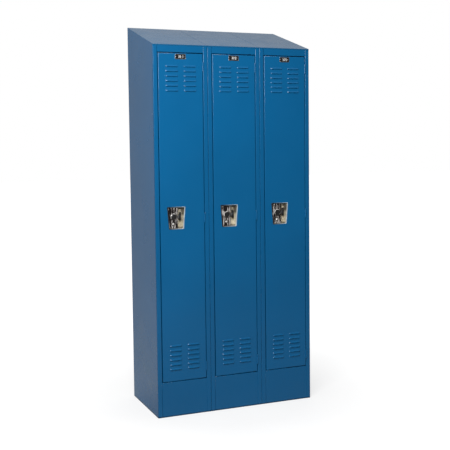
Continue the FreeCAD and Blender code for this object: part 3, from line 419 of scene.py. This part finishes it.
PLATE_MARGIN = 0.0030
INLAY_LOW, INLAY_HIGH = 0.0038, 0.0034         # inlay's margins under and over it
INLAY_CORNER = 0.0016
FIGURE_WIDTH, FIGURE_HEIGHT, FIGURE_STROKE = 0.0088, 0.015, 0.0029
FIGURE_STEP = 0.0112
FIGURES_LEFT = -0.0158                         # first figure's left edge from the plate's middle
FIGURES_UP = 0.0065
DIGITS = {
    "0": ("top", "tl", "tr", "bl", "br", "low"), "1": ("tr", "br"), "2": ("top", "tr", "mid", "bl", "low"),
    "3": ("top", "tr", "mid", "br", "low"),
}


def digit(work, symbol, x, z, y_front, y_back):
    """One plain block figure made of straight strokes."""
    wide, high, stroke = FIGURE_WIDTH, FIGURE_HEIGHT, FIGURE_STROKE
    half = high / 2
    spans = {
        "top": (0, wide, high - stroke, high), "mid": (0, wide, half - stroke / 2, half + stroke / 2),
        "low": (0, wide, 0, stroke), "tl": (0, stroke, half, high), "bl": (0, stroke, 0, half),
        "tr": (wide - stroke, wide, half, high), "br": (wide - stroke, wide, 0, half),
    }
    for key in DIGITS[symbol]:
        x0, x1, z0, z1 = spans[key]
        outline = rounded_outline(x + x0, x + x1, z + z0, z + z1, stroke * 0.22, 3)
        slab(work, outline, y_front, y_back, 0.00008)


def number_plates():
    """A black inlay and a plain number on each door's plate."""
    for i, bay in enumerate(BAYS):
        low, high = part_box("number_plate_" + bay)
        front = low.y
        mid = (low.x + high.x) / 2

        def inlay(work):
            outline = rounded_outline(low.x + PLATE_MARGIN, high.x - PLATE_MARGIN,
                                      low.z + INLAY_LOW, high.z - INLAY_HIGH, INLAY_CORNER)
            slab(work, outline, front + 0.00005, front + 0.0004, 0.0001)

        def figures(work):
            for k, symbol in enumerate("10" + str(i + 1)):
                digit(work, symbol, mid + FIGURES_LEFT + k * FIGURE_STEP, low.z + FIGURES_UP,
                      front - 0.00025, front + 0.0001)
        new_piece("number_inlay_" + bay, inlay, MATERIALS["inlay"], "door_" + bay)
        new_piece("number_figures_" + bay, figures, MATERIALS["figures"], "door_" + bay)


def disc(work, x, z, radius, y_front, y_back, dome):
    """A round cap with a softly domed front."""
    steps = 40
    turns = [2 * math.pi * j / steps for j in range(steps)]
    profile = [(radius, y_back), (radius, y_front + dome)]
    for k in range(1, 6):
        a = math.pi / 2 * k / 6
        reach = radius * math.cos(a) * 0.2 + radius * 0.8 * (1 - k / 9)
        profile.append((reach, y_front + dome * (1 - math.sin(a))))
    rings = [[work.verts.new((x + r * math.cos(t), y, z + r * math.sin(t))) for t in turns]
             for r, y in profile]
    for a, b in zip(rings, rings[1:]):
        for j in range(steps):
            work.faces.new((a[j], a[(j + 1) % steps], b[(j + 1) % steps], b[j]))
    work.faces.new(rings[0])
    work.faces.new(rings[-1][::-1])


def lock_fillers():
    """Black cap over the round lock hole of each handle."""
    for bay in BAYS:
        low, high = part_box("handle_pocket_" + bay)
        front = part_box("lock_plate_" + bay)[0].y
        x = (low.x + high.x) / 2 + RING_DX

        def cap(work):
            disc(work, x, HANDLE_LOW.z + RING_UP, CAP_R, front - 0.0004, front + RING_HEIGHT, 0.0008)
        new_piece("lock_filler_" + bay, cap, MATERIALS["black"], "door_" + bay)


# ---- stage, light and camera --------------------------------------------------------------------
INCH = 0.0254
FLOOR_SIZE = 30.0
CAMERA_AT = (-53.571, -167.988, 57.435)        # inches from the front's left edge on the floor
CAMERA_YAW, CAMERA_PITCH, CAMERA_ROLL = 22.392, 3.899, -0.6445
CABINET_HALF_WIDTH = 18                        # inches
SENSOR = 36.0                                  # millimetres
LENS = 68.2448
CAMERA_SHIFT = -0.0511111                      # downward, in picture widths


def camera_ray(tree):
    """1 for what the camera sees straight, 0 for reflections and lighting."""
    return tree.nodes.new("ShaderNodeLightPath").outputs["Is Camera Ray"]


def stage():
    """A plain pale floor that glows: to the camera it fades up to white away from the base and glows less
    near it, so a soft shadow shows round the base; towards the back it glows a little for all rays.
    """
    work = bmesh.new()
    corners = ((-1, -1), (1, -1), (1, 1), (-1, 1))
    work.faces.new([work.verts.new((x * FLOOR_SIZE, y * FLOOR_SIZE, 0)) for x, y in corners])
    mesh = bpy.data.meshes.new("floor")
    work.to_mesh(mesh)
    work.free()
    s = Shader("pale_floor")
    tone = s.mix(s.remap(s.noise(1.5, 3.0), 0.3, 0.7, 0.0, 1.0), FLOOR_DARK, FLOOR_LIGHT)
    place = s.tree.nodes.new("ShaderNodeSeparateXYZ")
    s.put(place.inputs[0], s.coords)
    # the floor glows towards the back for all rays, up to 0.28
    behind = s.remap(place.outputs["Y"], -0.6, 0.6, 0.0, 0.28)
    reach = s.tree.nodes.new("ShaderNodeVectorMath")
    reach.operation = "LENGTH"
    s.put(reach.inputs[0], s.coords)
    seen = s.remap(reach.outputs["Value"], 0.5, 1.8, 0.72, 1.0)
    glow = s.math("MAXIMUM", behind, s.math("MULTIPLY", camera_ray(s.tree), seen))
    s.set(Base_Color=tone, Roughness=0.8, Emission_Strength=glow).bump(s.noise(30.0, 2.0), 0.0002)
    s.bsdf.inputs["Emission Color"].default_value = WHITE
    s.bsdf.inputs["Specular IOR Level"].default_value = 0.1
    mesh.materials.append(s.material)
    floor = bpy.data.objects.new("floor", mesh)
    bpy.context.scene.collection.objects.link(floor)


def blend(tree, value, low, high, to_low, to_high):
    """A smooth step between two strengths."""
    node = tree.nodes.new("ShaderNodeMapRange")
    node.interpolation_type = "SMOOTHSTEP"
    tree.links.new(value, node.inputs[0])
    for socket, v in zip(node.inputs[1:], (low, high, to_low, to_high)):
        socket.default_value = v
    return node.outputs[0]


def combine(tree, operation, a, b):
    """Two strengths put together."""
    node = tree.nodes.new("ShaderNodeMath")
    node.operation = operation
    tree.links.new(a, node.inputs[0])
    tree.links.new(b, node.inputs[1])
    return node.outputs[0]


def world():
    """White studio: a bright backdrop behind and beside the lockers, a dim room in front of them."""
    space = bpy.data.worlds.new("studio")
    bpy.context.scene.world = space
    space.use_nodes = True
    tree = space.node_tree
    background = next(n for n in tree.nodes if n.type == "BACKGROUND")
    split = tree.nodes.new("ShaderNodeSeparateXYZ")
    tree.links.new(tree.nodes.new("ShaderNodeTexCoord").outputs["Generated"], split.inputs[0])
    backdrop = blend(tree, split.outputs["Y"], -0.75, 0.0, 0.10, 0.60)
    horizon = blend(tree, split.outputs["Z"], 0.05, 0.50, 0.65, 1.0)
    ceiling = blend(tree, split.outputs["Z"], 0.65, 0.90, 1.0, 0.35)
    room = combine(tree, "MULTIPLY", backdrop, combine(tree, "MULTIPLY", horizon, ceiling))
    tree.links.new(combine(tree, "MAXIMUM", room, camera_ray(tree)), background.inputs["Strength"])
    background.inputs["Color"].default_value = WHITE


def area_light(name, at, towards, size, power):
    data = bpy.data.lights.new(name, "AREA")
    data.shape = "RECTANGLE"
    data.size, data.size_y = size
    data.energy = power
    light = bpy.data.objects.new(name, data)
    light.location = at
    light.rotation_euler = (Vector(towards) - Vector(at)).to_track_quat("-Z", "Y").to_euler()
    bpy.context.scene.collection.objects.link(light)


def camera():
    """A long lens from the left, level with the handles."""
    yaw, pitch, roll = (math.radians(angle) for angle in (CAMERA_YAW, CAMERA_PITCH, CAMERA_ROLL))
    forward = Vector((math.sin(yaw) * math.cos(pitch), math.cos(yaw) * math.cos(pitch), -math.sin(pitch)))
    right = Vector((math.cos(yaw), -math.sin(yaw), 0))
    up = right.cross(forward)
    x_axis = right * math.cos(roll) + up * math.sin(roll)
    y_axis = up * math.cos(roll) - right * math.sin(roll)
    data = bpy.data.cameras.new("camera")
    data.sensor_width = SENSOR
    data.lens = LENS
    data.shift_y = CAMERA_SHIFT
    data.clip_end = 100
    obj = bpy.data.objects.new("camera", data)
    x, y, z = CAMERA_AT
    obj.location = ((x - CABINET_HALF_WIDTH) * INCH, FRONT_Y + y * INCH, z * INCH)
    axes = (x_axis, y_axis, -forward)
    obj.rotation_euler = Matrix([[a[i] for a in axes] for i in range(3)]).to_euler()
    bpy.context.scene.collection.objects.link(obj)
    bpy.context.scene.camera = obj


finish_nodes()
number_plates()
lock_fillers()
stage()
world()
area_light("key", (-1.7, -2.7, 3.0), (0, 0, 1.2), (1.8, 1.8), 132)
area_light("top", (0.5, -1.0, 5.0), (0, 0, 0), (4.0, 4.0), 10)
camera()
bpy.context.scene.view_settings.view_transform = "Standard"
